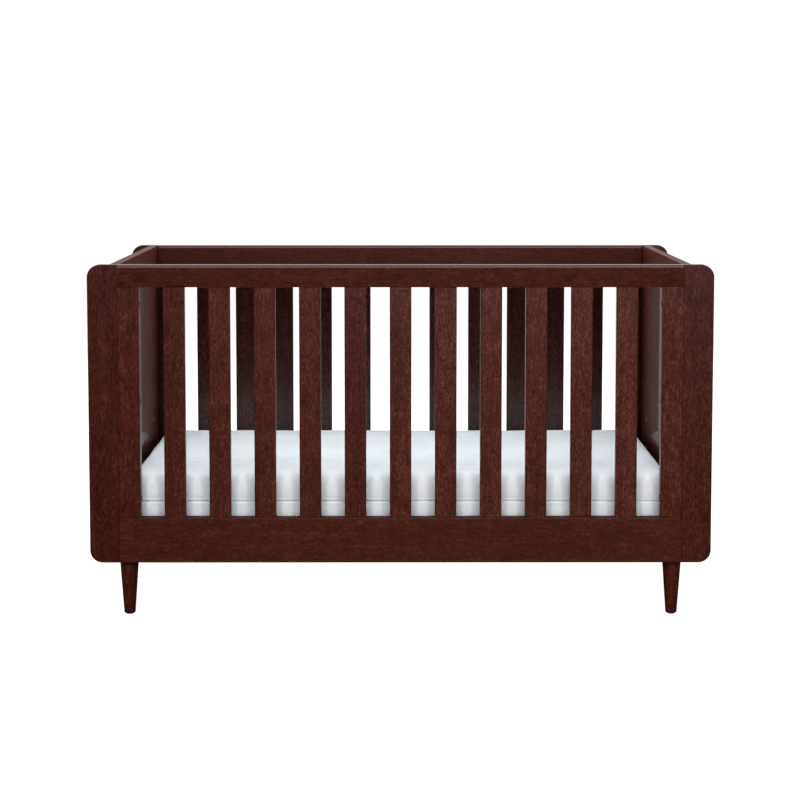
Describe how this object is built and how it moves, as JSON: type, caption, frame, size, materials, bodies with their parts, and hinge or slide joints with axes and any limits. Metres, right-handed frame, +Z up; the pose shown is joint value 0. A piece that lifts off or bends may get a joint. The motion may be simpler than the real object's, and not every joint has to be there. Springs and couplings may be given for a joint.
{
  "type": "baby crib",
  "caption": "Full-size baby crib with slatted sides, solid ends with round-cornered posts, turned legs, an adjustable steel mattress support and a mattress.",
  "frame": {"origin": "on the floor under the middle of the crib", "axes": "+X along the crib to its right, +Y from the front side to the back side, +Z up"},
  "size_m": [1.471, 0.755, 0.839],
  "materials": {
    "post_wood": "dark brown stain under a satin clear coat",
    "rail_wood": "dark brown stain under a satin clear coat",
    "slat_wood": "dark brown stain under a satin clear coat",
    "panel_wood": "dark brown stain under a satin clear coat",
    "leg_wood": "dark brown stain under a satin clear coat",
    "block_wood": "dark brown stain, matt",
    "bolt_steel": "dark bronze plated",
    "insert_steel": "zinc plated",
    "support_steel": "silver-grey powder coat",
    "wire_steel": "zinc plated wire",
    "spring_steel": "zinc plated wire",
    "glide_plastic": "dark brown moulded plastic",
    "mattress_fabric": "white woven cover with a fine horizontal ripple"
  },
  "bodies": {
    "crib_frame": {"back_bottom_rail": "rail_wood", "back_left_block": "block_wood", "back_left_leg": "leg_wood", "back_left_post": "post_wood", "back_left_stile": "post_wood", "back_right_block": "block_wood", "back_right_leg": "leg_wood", "back_right_post": "post_wood", "back_right_stile": "post_wood", "back_slat_01": "slat_wood", "back_slat_02": "slat_wood", "back_slat_03": "slat_wood", "back_slat_04": "slat_wood", "back_slat_05": "slat_wood", "back_slat_06": "slat_wood", "back_slat_07": "slat_wood", "back_slat_08": "slat_wood", "back_slat_09": "slat_wood", "back_slat_10": "slat_wood", "back_slat_11": "slat_wood", "back_top_rail": "rail_wood", "block_inserts": "insert_steel", "block_screws": "bolt_steel", "foot_glides": "glide_plastic", "frame_bolts": "bolt_steel", "front_bottom_rail": "rail_wood", "front_left_block": "block_wood", "front_left_leg": "leg_wood", "front_left_post": "post_wood", "front_left_stile": "post_wood", "front_right_block": "block_wood", "front_right_leg": "leg_wood", "front_right_post": "post_wood", "front_right_stile": "post_wood", "front_slat_01": "slat_wood", "front_slat_02": "slat_wood", "front_slat_03": "slat_wood", "front_slat_04": "slat_wood", "front_slat_05": "slat_wood", "front_slat_06": "slat_wood", "front_slat_07": "slat_wood", "front_slat_08": "slat_wood", "front_slat_09": "slat_wood", "front_slat_10": "slat_wood", "front_slat_11": "slat_wood", "front_top_rail": "rail_wood", "left_end_panel": "panel_wood", "leg_hanger_bolts": "bolt_steel", "panel_inserts": "insert_steel", "post_inserts": "insert_steel", "right_end_panel": "panel_wood", "support_pins": "bolt_steel"},
    "mattress_support": {"support_back_rail": "support_steel", "support_brackets": "support_steel", "support_front_rail": "support_steel", "support_left_rail": "support_steel", "support_right_rail": "support_steel", "support_springs": "spring_steel", "support_wires": "wire_steel"},
    "mattress": {"mattress": "mattress_fabric"}
  },
  "joints": [
    {"name": "support_height", "type": "slide", "parent": "crib_frame", "child": "mattress_support", "axis": [0, 0, 1], "range_m": [0, 0.228]},
    {"name": "mattress_lift", "type": "slide", "parent": "mattress_support", "child": "mattress", "axis": [0, 0, 1], "range_m": [0, 0.7]}
  ]
}
